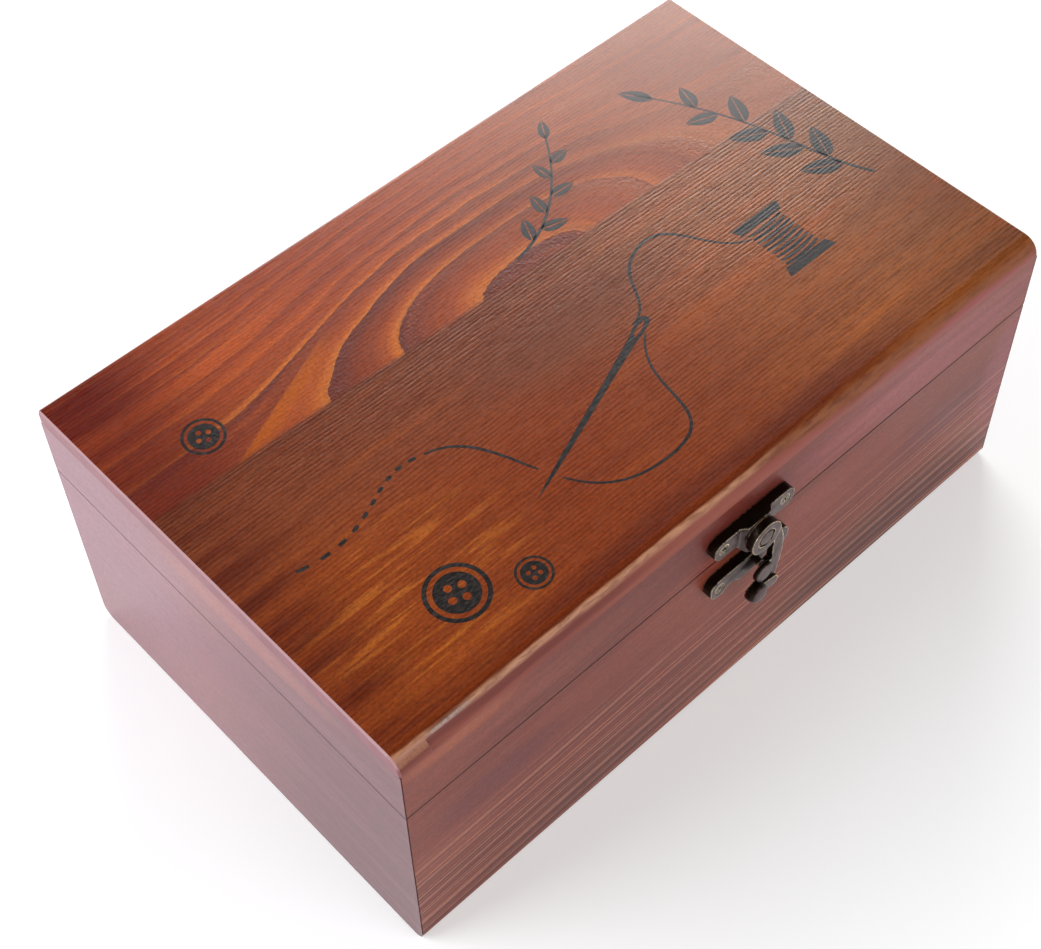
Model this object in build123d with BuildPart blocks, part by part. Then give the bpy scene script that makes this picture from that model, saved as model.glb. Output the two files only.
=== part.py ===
# Wooden sewing box: a pine case with a hinged lid, a swing latch in front and two small hinges behind.
# Millimetres. X runs along the box, -Y is the front with the latch, Z is up.
# The origin is the middle of the underside.

import os
from math import asin, atan, atan2, cos, degrees, hypot, radians, sin

from build123d import *

os.makedirs("parts", exist_ok=True)

# Overall size of the wooden case
box_length = 215.9
box_depth = 132.0
box_height = 88.9
lid_height = 23.8
seam_gap = 0.3

# Boards
wall = 8.0
top_thickness = 5.0
front_top_round = 4.8
back_top_round = 1.0
end_arris = 0.5
front_bottom_round = 3.0
back_bottom_round = 3.6
corner_arris = 0.3

# Bottom panel, let into a rebate and flush with the underside
bottom_thickness = 3.2
rebate_width = 4.0
panel_play = 0.1

# Hand-cut scoop on the front top edge, deep at its left end and running out to the right
scoop_from_end = 8.8
scoop_length = 36.0
scoop_radius = 5.0
scoop_depth = 0.6
scoop_run_out = 0.15
scoop_angle = 30.0

# Dividers, halved over each other and housed in the walls
divider_thickness = 4.0
divider_height = 44.0
housing_depth = 2.0
divider_play = 0.1
rear_row_depth = 44.0
end_bay_length = 60.0

# Latch plates: flat ears, and on the lid a middle that swells forward under the hook
plate_thickness = 2.8
ear_radius = 3.2
ear_corner = 2.85
latch_screw_spacing = 21.2
pivot_above_seam = 6.9
hook_screws_above_pivot = 1.6
hook_plate_top_above_pivot = 4.9
boss_radius = 6.2
boss_thickness = 4.2
boss_half_width = 3.7
boss_slope = 1.6
boss_ease = 1.0
boss_corner = 2.0
keeper_top_below_seam = 4.4
keeper_screws_below_top = 3.7
keeper_scallop_radius = 2.7
keeper_scallop_from_centre = 6.6
keeper_scallop_drop = 1.0

# Swing hook, its rivet and the stud that it catches, with places taken from the pivot
hook_gap = 0.15
hook_thickness = 1.8
hook_head_radius = 5.0
hook_rim_width = 2.2
hook_rim_height = 0.6
arm_inner_edge = 3.9
arm_outer_edge = 7.0
arm_bulge = 0.5
arm_leaves_head = 10.0
lock_angle = 10.0
foot_radius = 3.7
foot_below_pivot = 17.0
heel_radius = 2.0
heel_right_of_pivot = 4.1
heel_below_pivot = 22.0
cap_radius = 3.0
cap_below_pivot = 15.0
cap_reach = 7.4
cap_arris = 0.6
thumb_radius = 2.9
thumb_left_of_pivot = 2.0
thumb_below_pivot = 20.6
thumb_reach = 9.3
thumb_arris = 1.1
toe_radius = 1.8
rivet_radius = 1.5
rivet_head_radius = 2.2
rivet_head_height = 0.7
rivet_head_arris = 0.3
rivet_head_gap = 0.05
running_fit = 0.05
stud_radius = 1.0
stud_stem_radius = 0.7
stud_right_of_pivot = 0.6
stud_below_pivot = 12.4
stud_setback = 0.55
stud_side_gap = 0.25
thumb_stud_gap = 0.3

# Hinges on the back
hinge_from_end = 44.0
hinge_width = 26.0
leaf_height = 11.5
leaf_thickness = 1.0
leaf_corner = 1.6
leaf_gap = 0.3
knuckle_radius = 2.2
knuckle_play = 0.15
knuckle_count = 3
knuckle_gap = 0.2
hinge_pin_radius = 0.9
hinge_screw_spacing = 15.0
hinge_screw_from_edge = 3.8
stop_angle = 100.0
stop_reach = 4.6
stop_thickness = 1.0
stop_play = 0.15

# Wood screws: countersunk ones in the latch plates, flat round heads on the hinge leaves
screw_shank_radius = 0.75
screw_in_wood = 5.2
screw_fit = 0.05
latch_screw_head_radius = 1.7
latch_screw_head_height = 0.8
latch_screw_sink = 0.1
hinge_screw_head_radius = 1.5
hinge_screw_head_height = 0.5
hinge_screw_sides = 12

# Planes and heights that several pieces share
left = -box_length / 2
right = box_length / 2
front = -box_depth / 2
back = box_depth / 2
front_inner = front + wall
back_inner = back - wall
left_inner = left + wall
right_inner = right - wall
seam_height = box_height - lid_height
base_top = seam_height - seam_gap / 2
lid_bottom = seam_height + seam_gap / 2
lid_frame_top = box_height - top_thickness
floor_top = bottom_thickness
divider_top = floor_top + divider_height
long_divider_y = back_inner - rear_row_depth - divider_thickness / 2
short_divider_x = right_inner - end_bay_length - divider_thickness / 2
slot_width = divider_thickness + 2 * divider_play

plate_face = front - plate_thickness
boss_face = front - boss_thickness
pivot_height = seam_height + pivot_above_seam
stud_height = pivot_height - stud_below_pivot
hook_screw_height = pivot_height + hook_screws_above_pivot
keeper_top = seam_height - keeper_top_below_seam
keeper_screw_height = keeper_top - keeper_screws_below_top
hook_back = boss_face - hook_gap
hook_face = hook_back - hook_thickness
stud_face = hook_face + stud_setback
thumb_back = stud_face - thumb_stud_gap
rivet_head_back = hook_face - rivet_head_gap
screw_hole_radius = screw_shank_radius + screw_fit
latch_head_slope = (latch_screw_head_radius - screw_shank_radius) / latch_screw_head_height
latch_head_angle = 2 * degrees(atan(latch_head_slope))
latch_sink_radius = latch_screw_head_radius + screw_fit + latch_screw_sink * latch_head_slope
latch_screw_top = plate_face + latch_screw_sink
pilot_depth = screw_in_wood + screw_fit

hinge_x = right - hinge_from_end
hinge_y = back + knuckle_radius + knuckle_play
leaf_face = back + leaf_thickness
leaf_inner_edge = knuckle_radius + leaf_gap
hinge_screw_rise = leaf_inner_edge + leaf_height - hinge_screw_from_edge


def corner_mitre(side, end):
    """The upright plane of a mitred corner; its positive side is the long board's."""
    return Plane(origin=(side * box_length / 2, end * box_depth / 2, 0), z_dir=(-side, end, 0))


def front_plane(x, y, z):
    """A plane that faces the front of the box, with X to the right and Z up."""
    return Plane(origin=(x, y, z), x_dir=(1, 0, 0), z_dir=(0, -1, 0))


def back_plane(x, y, z):
    """A plane that faces the back of the box, with X to the left and Z up."""
    return Plane(origin=(x, y, z), x_dir=(-1, 0, 0), z_dir=(0, 1, 0))


def latch_screw_planes(y, z):
    return [front_plane(side * latch_screw_spacing / 2, y, z) for side in (-1, 1)]


def hinge_screw_planes(y, z):
    return [
        back_plane(hinge * hinge_x + side * hinge_screw_spacing / 2, y, z)
        for hinge in (-1, 1)
        for side in (-1, 1)
    ]


def save(piece, name):
    piece.part.label = name
    export_step(piece.part, f"parts/{name}.step")


def outer_tips(piece):
    """The two upright outer edges where a mitred board meets its neighbours."""
    uprights = piece.edges().filter_by(Axis.Z)
    return uprights.group_by(Axis.X)[0] + uprights.group_by(Axis.X)[-1]


# Base: the front board, with its rebate, divider housings and the keeper's pilot holes
with BuildPart() as base_front_board:
    with BuildSketch(Plane.YZ):
        with Locations((front, 0)):
            Rectangle(wall, base_top, align=(Align.MIN, Align.MIN))
        with Locations((front_inner, 0)):
            Rectangle(rebate_width, bottom_thickness, align=(Align.MAX, Align.MIN), mode=Mode.SUBTRACT)
        outer_bottom = vertices().group_by(Axis.X)[0].sort_by(Axis.Y)[0]
        fillet(outer_bottom, front_bottom_round)
    extrude(amount=box_length / 2, both=True)
    for side in (-1, 1):
        with Locations((side * short_divider_x, front_inner, floor_top)):
            Box(
                slot_width,
                2 * housing_depth,
                divider_height + divider_play,
                align=(Align.CENTER, Align.CENTER, Align.MIN),
                mode=Mode.SUBTRACT,
            )
    with Locations(*latch_screw_planes(front, keeper_screw_height)):
        Hole(screw_hole_radius, depth=pilot_depth)
    split(bisect_by=corner_mitre(-1, -1), keep=Keep.TOP)
    split(bisect_by=corner_mitre(1, -1), keep=Keep.TOP)
    chamfer(outer_tips(base_front_board), corner_arris)
save(base_front_board, "base_front_board")

# Base: the back board, with the hinges' pilot holes
with BuildPart() as base_back_board:
    with BuildSketch(Plane.YZ):
        with Locations((back, 0)):
            Rectangle(wall, base_top, align=(Align.MAX, Align.MIN))
        with Locations((back_inner, 0)):
            Rectangle(rebate_width, bottom_thickness, align=(Align.MIN, Align.MIN), mode=Mode.SUBTRACT)
        outer_bottom = vertices().group_by(Axis.X)[-1].sort_by(Axis.Y)[0]
        fillet(outer_bottom, back_bottom_round)
    extrude(amount=box_length / 2, both=True)
    for side in (-1, 1):
        with Locations((side * short_divider_x, back_inner, floor_top)):
            Box(
                slot_width,
                2 * housing_depth,
                divider_height + divider_play,
                align=(Align.CENTER, Align.CENTER, Align.MIN),
                mode=Mode.SUBTRACT,
            )
    with BuildSketch(*hinge_screw_planes(back, seam_height - hinge_screw_rise)):
        RegularPolygon(screw_hole_radius, hinge_screw_sides)
    extrude(amount=-pilot_depth, mode=Mode.SUBTRACT)
    split(bisect_by=corner_mitre(-1, 1), keep=Keep.TOP)
    split(bisect_by=corner_mitre(1, 1), keep=Keep.TOP)
    chamfer(outer_tips(base_back_board), corner_arris)
save(base_back_board, "base_back_board")

# Base: the end boards, cut from the outline of the whole end so that the rounded edges run through
with BuildPart() as base_left_board:
    with BuildSketch(Plane.YZ.offset(left)):
        Rectangle(box_depth, base_top, align=(Align.CENTER, Align.MIN))
        fillet(vertices().group_by(Axis.Y)[0].sort_by(Axis.X)[0], front_bottom_round)
        fillet(vertices().group_by(Axis.Y)[0].sort_by(Axis.X)[-1], back_bottom_round)
    extrude(amount=wall)
    with Locations((left_inner, 0, 0)):
        Box(
            2 * rebate_width,
            box_depth,
            2 * bottom_thickness,
            mode=Mode.SUBTRACT,
        )
    with Locations((left_inner, long_divider_y, floor_top)):
        Box(
            2 * housing_depth,
            slot_width,
            divider_height + divider_play,
            align=(Align.CENTER, Align.CENTER, Align.MIN),
            mode=Mode.SUBTRACT,
        )
    split(bisect_by=corner_mitre(-1, -1), keep=Keep.BOTTOM)
    split(bisect_by=corner_mitre(-1, 1), keep=Keep.BOTTOM)
save(base_left_board, "base_left_board")

with BuildPart() as base_right_board:
    mirror(base_left_board.part, about=Plane.YZ)
save(base_right_board, "base_right_board")

# Base: the bottom panel in its rebate
with BuildPart() as base_bottom_panel:
    with BuildSketch():
        Rectangle(
            box_length - 2 * (wall - rebate_width + panel_play),
            box_depth - 2 * (wall - rebate_width + panel_play),
        )
    extrude(amount=bottom_thickness)
save(base_bottom_panel, "base_bottom_panel")

# Base: the long divider, slotted from above where the short ones cross it
with BuildPart() as long_divider:
    with BuildSketch(Plane.XZ.offset(-long_divider_y)):
        with Locations((0, floor_top)):
            Rectangle(
                right_inner - left_inner + 2 * (housing_depth - divider_play),
                divider_height,
                align=(Align.CENTER, Align.MIN),
            )
        with Locations((-short_divider_x, divider_top), (short_divider_x, divider_top)):
            Rectangle(slot_width, divider_height, mode=Mode.SUBTRACT)
    extrude(amount=divider_thickness / 2, both=True)
save(long_divider, "long_divider")

# Base: the short dividers, slotted from below to ride over the long one
for side, name in ((-1, "short_divider_left"), (1, "short_divider_right")):
    with BuildPart() as short_divider:
        with BuildSketch(Plane.YZ.offset(side * short_divider_x)):
            with Locations((0, floor_top)):
                Rectangle(
                    back_inner - front_inner + 2 * (housing_depth - divider_play),
                    divider_height,
                    align=(Align.CENTER, Align.MIN),
                )
            with Locations((long_divider_y, floor_top)):
                Rectangle(
                    slot_width,
                    divider_height + 2 * divider_play,
                    mode=Mode.SUBTRACT,
                )
        extrude(amount=divider_thickness / 2, both=True)
    save(short_divider, name)

# Lid: the four mitred boards of its frame
with BuildPart() as lid_front_board:
    with BuildSketch(Plane.YZ):
        with Locations((front, lid_bottom)):
            Rectangle(wall, lid_frame_top - lid_bottom, align=(Align.MIN, Align.MIN))
    extrude(amount=box_length / 2, both=True)
    with Locations(*latch_screw_planes(front, hook_screw_height)):
        Hole(screw_hole_radius, depth=pilot_depth)
    split(bisect_by=corner_mitre(-1, -1), keep=Keep.TOP)
    split(bisect_by=corner_mitre(1, -1), keep=Keep.TOP)
    chamfer(outer_tips(lid_front_board), corner_arris)
save(lid_front_board, "lid_front_board")

with BuildPart() as lid_back_board:
    with BuildSketch(Plane.YZ):
        with Locations((back, lid_bottom)):
            Rectangle(wall, lid_frame_top - lid_bottom, align=(Align.MAX, Align.MIN))
    extrude(amount=box_length / 2, both=True)
    with BuildSketch(*hinge_screw_planes(back, seam_height + hinge_screw_rise)):
        RegularPolygon(screw_hole_radius, hinge_screw_sides)
    extrude(amount=-pilot_depth, mode=Mode.SUBTRACT)
    split(bisect_by=corner_mitre(-1, 1), keep=Keep.TOP)
    split(bisect_by=corner_mitre(1, 1), keep=Keep.TOP)
    chamfer(outer_tips(lid_back_board), corner_arris)
save(lid_back_board, "lid_back_board")

with BuildPart() as lid_left_board:
    with BuildSketch(Plane.YZ.offset(left)):
        with Locations((0, lid_bottom)):
            Rectangle(box_depth, lid_frame_top - lid_bottom, align=(Align.CENTER, Align.MIN))
    extrude(amount=wall)
    split(bisect_by=corner_mitre(-1, -1), keep=Keep.BOTTOM)
    split(bisect_by=corner_mitre(-1, 1), keep=Keep.BOTTOM)
save(lid_left_board, "lid_left_board")

with BuildPart() as lid_right_board:
    mirror(lid_left_board.part, about=Plane.YZ)
save(lid_right_board, "lid_right_board")

# Lid: the top board, glued over the frame, with its rounded front edge and the scoop in it
round_centre = Vector(0, front + front_top_round, box_height - front_top_round)
scoop_outward = Vector(0, -cos(radians(scoop_angle)), sin(radians(scoop_angle)))
scoop_start_offset = front_top_round + scoop_radius - scoop_depth
scoop_end_offset = front_top_round + scoop_radius + scoop_run_out
scoop_start = round_centre + scoop_outward * scoop_start_offset + Vector(left + scoop_from_end, 0, 0)
scoop_end = (
    round_centre
    + scoop_outward * scoop_end_offset
    + Vector(left + scoop_from_end + scoop_length, 0, 0)
)
with BuildPart() as lid_top_board:
    with BuildSketch(Plane.YZ):
        with Locations((0, lid_frame_top)):
            Rectangle(box_depth, top_thickness, align=(Align.CENTER, Align.MIN))
        fillet(vertices().group_by(Axis.Y)[-1].sort_by(Axis.X)[0], front_top_round)
        fillet(vertices().group_by(Axis.Y)[-1].sort_by(Axis.X)[-1], back_top_round)
    extrude(amount=box_length / 2, both=True)
    end_edges = faces().filter_by(Axis.X).edges()
    chamfer(end_edges.filter_by(lambda edge: edge.center().Z > lid_frame_top + end_arris), end_arris)
    with BuildSketch(Plane(origin=scoop_start, z_dir=scoop_end - scoop_start)):
        Circle(scoop_radius)
    extrude(amount=(scoop_end - scoop_start).length, mode=Mode.SUBTRACT)
save(lid_top_board, "lid_top_board")

# A countersunk wood screw for the latch plates, its head's face on the XY plane
with BuildPart() as latch_screw:
    with BuildSketch(Plane.XZ):
        with BuildLine():
            Polyline(
                (0, 0),
                (latch_screw_head_radius, 0),
                (screw_shank_radius, -latch_screw_head_height),
                (screw_shank_radius, -(plate_thickness - latch_screw_sink + screw_in_wood)),
                (0, -(plate_thickness - latch_screw_sink + screw_in_wood)),
                close=True,
            )
        make_face()
    revolve(axis=Axis.Z)

# A round-headed wood screw for the hinge leaves, the underside of its head on the XY plane.
# Its shank has twelve sides, as its holes have, so that eight of them stay light.
with BuildPart() as hinge_screw:
    with BuildSketch():
        Circle(hinge_screw_head_radius)
    extrude(amount=hinge_screw_head_height)
    with BuildSketch():
        RegularPolygon(screw_shank_radius, hinge_screw_sides)
    extrude(amount=-(leaf_thickness + screw_in_wood))

# Latch: the keeper plate on the base, two ears and a middle lobe under one straight top edge
with BuildPart() as keeper_plate:
    with BuildSketch(front_plane(0, front, keeper_top)):
        RectangleRounded(
            latch_screw_spacing + 2 * ear_radius,
            keeper_screws_below_top + ear_radius,
            ear_corner,
            align=(Align.CENTER, Align.MAX),
        )
        scallop_y = -(keeper_screws_below_top + ear_radius + keeper_scallop_drop)
        with Locations((-keeper_scallop_from_centre, scallop_y), (keeper_scallop_from_centre, scallop_y)):
            Circle(keeper_scallop_radius, mode=Mode.SUBTRACT)
    extrude(amount=plate_thickness)
    with Locations(*latch_screw_planes(plate_face, keeper_screw_height)):
        CounterSinkHole(screw_hole_radius, latch_sink_radius, counter_sink_angle=latch_head_angle)
    with Locations(front_plane(stud_right_of_pivot, plate_face, stud_height)):
        Hole(stud_stem_radius + running_fit)
save(keeper_plate, "keeper_plate")

# Latch: the stud, riveted into the keeper plate with a shoulder against its face
with BuildPart() as keeper_stud:
    with BuildSketch(front_plane(stud_right_of_pivot, front, stud_height)):
        Circle(stud_stem_radius)
    extrude(amount=plate_thickness)
    with BuildSketch(front_plane(stud_right_of_pivot, plate_face, stud_height)):
        Circle(stud_radius)
    extrude(amount=plate_face - stud_face)
save(keeper_stud, "keeper_stud")

with BuildPart() as keeper_screws:
    with Locations(*latch_screw_planes(latch_screw_top, keeper_screw_height)):
        add(latch_screw.part)
save(keeper_screws, "keeper_screws")

# Latch: the hook plate on the lid, swept up the box from its wavy plan and trimmed to its front outline
with BuildPart() as hook_plate:
    plate_half_width = latch_screw_spacing / 2 + ear_radius
    plan_bottom = pivot_height - boss_radius
    with BuildSketch(Plane.XY.offset(plan_bottom)):
        with BuildLine():
            Polyline(
                (-plate_half_width, front),
                (-plate_half_width, plate_face),
                (-boss_half_width - boss_slope, plate_face),
                (-boss_half_width, boss_face),
                (boss_half_width, boss_face),
                (boss_half_width + boss_slope, plate_face),
                (plate_half_width, plate_face),
                (plate_half_width, front),
                close=True,
            )
        make_face()
        wave = vertices().filter_by(lambda corner: abs(corner.X) < plate_half_width - ear_radius)
        fillet(wave, boss_ease)
    extrude(amount=boss_radius + hook_plate_top_above_pivot)
    with BuildSketch(front_plane(0, front, pivot_height)):
        with Locations((0, hook_plate_top_above_pivot)):
            RectangleRounded(
                2 * plate_half_width,
                hook_plate_top_above_pivot - hook_screws_above_pivot + ear_radius,
                ear_corner,
                align=(Align.CENTER, Align.MAX),
            )
        Circle(boss_radius)
        inner_corners = vertices().filter_by(lambda corner: abs(corner.X) < boss_radius and corner.Y < 0)
        fillet(inner_corners, boss_corner)
    extrude(amount=boss_thickness, mode=Mode.INTERSECT)
    with Locations(*latch_screw_planes(plate_face, hook_screw_height)):
        CounterSinkHole(screw_hole_radius, latch_sink_radius, counter_sink_angle=latch_head_angle)
    with Locations(front_plane(0, boss_face, pivot_height)):
        Hole(rivet_radius)
save(hook_plate, "hook_plate")

with BuildPart() as hook_plate_screws:
    with Locations(*latch_screw_planes(latch_screw_top, hook_screw_height)):
        add(latch_screw.part)
save(hook_plate_screws, "hook_plate_screws")

# Latch: the rivet that the hook turns on, held in the hook plate
with BuildPart() as hook_rivet:
    with BuildSketch(front_plane(0, front, pivot_height)):
        Circle(rivet_radius)
    extrude(amount=front - rivet_head_back)
    with BuildSketch(front_plane(0, rivet_head_back, pivot_height)):
        Circle(rivet_head_radius)
    extrude(amount=rivet_head_height)
    chamfer(faces().sort_by(Axis.Y)[0].edges(), rivet_head_arris)
save(hook_rivet, "hook_rivet")

# Latch: the swing hook, a flat head, arm and foot. In front of the foot stand a round cap, which
# covers the stud's end, and a toe that runs from the heel to the thumb piece.
foot_right_of_pivot = arm_outer_edge - foot_radius
lip_edge = stud_right_of_pivot + stud_radius + stud_side_gap
with BuildPart() as latch_hook:
    with BuildSketch(front_plane(0, hook_back, pivot_height)):
        Circle(hook_head_radius)
        with BuildLine():
            arm_top = Vector(hook_head_radius, 0).rotate(Axis.Z, arm_leaves_head)
            arm_foot = (arm_outer_edge, -foot_below_pivot)
            arm_middle = (arm_outer_edge + arm_bulge, -foot_below_pivot / 2)
            ThreePointArc(arm_top, arm_middle, arm_foot)
            Polyline(arm_foot, (arm_inner_edge, -foot_below_pivot), (arm_inner_edge, 0), arm_top)
        make_face()
        with Locations((foot_right_of_pivot, -foot_below_pivot)):
            Circle(foot_radius)
    extrude(amount=hook_thickness)
    with BuildSketch(front_plane(0, hook_back, pivot_height)):
        with Locations((arm_outer_edge - heel_radius, -foot_below_pivot), (heel_right_of_pivot, -heel_below_pivot)):
            Circle(heel_radius)
        make_hull()
    extrude(amount=hook_thickness)
    # behind the thumb layer the foot is cut back to a lip, which passes the stud at rest
    with BuildSketch(front_plane(0, hook_back, pivot_height)):
        with Locations((lip_edge, -foot_below_pivot)):
            Rectangle(2 * foot_radius, 2 * foot_radius, align=(Align.MAX, Align.CENTER))
    extrude(amount=hook_back - thumb_back, mode=Mode.SUBTRACT)
    with BuildSketch(front_plane(0, thumb_back, pivot_height)):
        with Locations((stud_right_of_pivot, -cap_below_pivot)):
            Circle(cap_radius)
    extrude(amount=cap_reach - (front - thumb_back))
    chamfer(faces().sort_by(Axis.Y)[0].edges(), cap_arris)
    with BuildSketch(front_plane(0, thumb_back, pivot_height)):
        with Locations((heel_right_of_pivot, -heel_below_pivot), (-thumb_left_of_pivot, -thumb_below_pivot)):
            Circle(toe_radius)
        make_hull()
    extrude(amount=cap_reach - (front - thumb_back))
    with BuildSketch(front_plane(0, thumb_back, pivot_height)):
        with Locations((-thumb_left_of_pivot, -thumb_below_pivot)):
            Circle(thumb_radius)
    extrude(amount=thumb_reach - (front - thumb_back))
    chamfer(faces().sort_by(Axis.Y)[0].edges(), thumb_arris)
    with BuildSketch(front_plane(0, hook_face, pivot_height)):
        Circle(hook_head_radius)
        Circle(hook_head_radius - hook_rim_width, mode=Mode.SUBTRACT)
    extrude(amount=hook_rim_height)
    with Locations(front_plane(0, hook_face, pivot_height)):
        Hole(rivet_radius + running_fit)
save(latch_hook, "latch_hook")

# Hinges: each has a leaf on the base, a leaf on the lid and a pin that stays in the base leaf's knuckles
knuckle_pitch = hinge_width / knuckle_count
knuckle_length = knuckle_pitch - knuckle_gap
lid_knuckles = range(1, knuckle_count, 2)
base_knuckles = range(0, knuckle_count, 2)
# fully open, the tip of the stop tongue leans onto the base leaf's face
tip_radius = hypot(stop_reach, stop_thickness / 2)
tip_angle = atan2(stop_thickness / 2, stop_reach)
stop_lean = degrees(asin((hinge_y - leaf_face - stop_play) / tip_radius) - tip_angle)
stop_rest_angle = stop_angle - 90 - stop_lean


def knuckle_offset(index):
    """How far a knuckle's middle lies from the hinge's middle, to the right."""
    return (index + 0.5) * knuckle_pitch - hinge_width / 2


for side, name in ((-1, "left"), (1, "right")):
    middle_x = side * hinge_x
    for body, up, knuckles in (("base", -1, base_knuckles), ("lid", 1, lid_knuckles)):
        leaf_align = (Align.CENTER, Align.MIN if up > 0 else Align.MAX)
        with BuildPart() as leaf:
            with BuildSketch(back_plane(middle_x, back, seam_height)):
                with Locations((0, up * leaf_inner_edge)):
                    Rectangle(hinge_width, leaf_height, align=leaf_align)
                fillet(vertices().sort_by(Axis.Y, reverse=up > 0)[0:2], leaf_corner)
                for index in knuckles:
                    with Locations((-knuckle_offset(index), 0)):
                        Rectangle(knuckle_length, leaf_inner_edge + leaf_gap, align=leaf_align)
            extrude(amount=leaf_thickness)
            for index in knuckles:
                with BuildSketch(Plane.YZ.offset(middle_x + knuckle_offset(index))):
                    with Locations((hinge_y, seam_height)):
                        Circle(knuckle_radius)
                extrude(amount=knuckle_length / 2, both=True)
                if body == "lid":
                    tongue_root = (middle_x + knuckle_offset(index), hinge_y, seam_height)
                    with Locations(Location(tongue_root, (stop_rest_angle, 0, 0))):
                        Box(
                            knuckle_length,
                            stop_reach,
                            stop_thickness,
                            align=(Align.CENTER, Align.MIN, Align.CENTER),
                        )
            with BuildSketch(Plane.YZ.offset(middle_x)):
                with Locations((hinge_y, seam_height)):
                    Circle(hinge_pin_radius + (running_fit if body == "lid" else 0))
            extrude(amount=hinge_width / 2, both=True, mode=Mode.SUBTRACT)
            for screw_side in (-1, 1):
                screw_x = middle_x + screw_side * hinge_screw_spacing / 2
                with BuildSketch(back_plane(screw_x, leaf_face, seam_height + up * hinge_screw_rise)):
                    RegularPolygon(screw_hole_radius, hinge_screw_sides)
                extrude(amount=-leaf_thickness, mode=Mode.SUBTRACT)
        save(leaf, f"hinge_leaf_{body}_{name}")

    with BuildPart() as hinge_pin:
        with BuildSketch(Plane.YZ.offset(middle_x)):
            with Locations((hinge_y, seam_height)):
                Circle(hinge_pin_radius)
        extrude(amount=(hinge_width - knuckle_gap) / 2, both=True)
    save(hinge_pin, f"hinge_pin_{name}")

for body, up in (("base", -1), ("lid", 1)):
    with BuildPart() as hinge_screws:
        with Locations(*hinge_screw_planes(leaf_face, seam_height + up * hinge_screw_rise)):
            add(hinge_screw.part)
    save(hinge_screws, f"hinge_screws_{body}")

lip_reach = foot_below_pivot * sin(radians(lock_angle)) - stud_side_gap
print("at rest the hook's lip passes the stud by", stud_side_gap)
print("pressed home, the lip reaches under it by", round(lip_reach, 2))
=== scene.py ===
from math import atan2, cos, pi, radians, sin

import bmesh
import bpy
from mathutils import Matrix, Vector
from mathutils.geometry import interpolate_bezier, tessellate_polygon


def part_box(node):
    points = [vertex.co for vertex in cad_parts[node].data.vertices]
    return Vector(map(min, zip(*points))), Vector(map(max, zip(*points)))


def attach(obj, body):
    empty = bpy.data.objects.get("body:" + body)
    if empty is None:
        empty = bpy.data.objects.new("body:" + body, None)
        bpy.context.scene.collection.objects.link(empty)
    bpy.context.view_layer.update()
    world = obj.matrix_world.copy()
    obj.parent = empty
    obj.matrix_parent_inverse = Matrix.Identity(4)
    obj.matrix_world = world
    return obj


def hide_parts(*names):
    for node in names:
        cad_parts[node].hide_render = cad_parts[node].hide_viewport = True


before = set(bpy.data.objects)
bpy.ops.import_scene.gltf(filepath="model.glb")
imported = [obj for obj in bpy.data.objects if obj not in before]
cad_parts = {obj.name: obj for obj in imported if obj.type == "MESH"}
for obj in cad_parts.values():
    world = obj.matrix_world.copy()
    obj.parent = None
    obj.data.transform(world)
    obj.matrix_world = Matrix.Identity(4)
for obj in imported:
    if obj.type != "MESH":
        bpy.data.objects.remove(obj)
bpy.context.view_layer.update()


# Studio: a white floor that fades into a white backdrop, a pale dome that is dark overhead,
# a large soft lamp at the back left, a long narrow one at the back right whose sheen lies on the lid,
# and a weak one in front. The camera stands at the front left corner, looking down.

def wire(tree, kind, feeds=None, **settings):
    """Adds a shader node, sets its fields, and feeds its inputs with values or other nodes' sockets."""
    node = tree.nodes.new("ShaderNode" + kind)
    for field, value in settings.items():
        setattr(node, field, value)
    for name, value in (feeds or {}).items():
        if isinstance(value, bpy.types.NodeSocket):
            tree.links.new(value, node.inputs[name])
        else:
            node.inputs[name].default_value = value
    return node


def maths(tree, operation, *values):
    return wire(tree, "Math", dict(enumerate(values)), operation=operation).outputs[0]


def times(tree, one, other):
    return maths(tree, "MULTIPLY", one, other)


def split(tree, vector):
    """A vector's X, Y and Z."""
    return wire(tree, "SeparateXYZ", {"Vector": vector}).outputs


def step(tree, value, low, high, start=0.0, end=1.0):
    """A soft step from start to end while value goes from low to high."""
    feeds = {"Value": value, "From Min": low, "From Max": high, "To Min": start, "To Max": end}
    return wire(tree, "MapRange", feeds, interpolation_type="SMOOTHSTEP").outputs["Result"]


scene = bpy.context.scene
scene.view_settings.view_transform = "Standard"

world = bpy.data.worlds.new("pale_dome")
world.use_nodes = True
scene.world = world
sky = world.node_tree
sky.nodes.clear()
rays = wire(sky, "LightPath")
toward = split(sky, wire(sky, "TexCoord").outputs["Generated"])
mirrored = maths(sky, "MAXIMUM", rays.outputs["Is Glossy Ray"], rays.outputs["Is Transmission Ray"])
dome_level = step(sky, toward["Z"], 0.0, 0.75, 0.75, 0.32)
backdrop_level = step(sky, toward["Z"], 0.10, 0.60, 1.0, 0.02)
seen_level = times(sky, mirrored, backdrop_level)
dome_level = times(sky, dome_level, maths(sky, "SUBTRACT", 1.0, mirrored))
level = maths(sky, "MAXIMUM", maths(sky, "ADD", dome_level, seen_level), rays.outputs["Is Camera Ray"])
background = wire(sky, "Background", {"Color": (1.0, 1.0, 1.0, 1.0), "Strength": level})
sky.links.new(background.outputs[0], wire(sky, "OutputWorld").inputs["Surface"])

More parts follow.
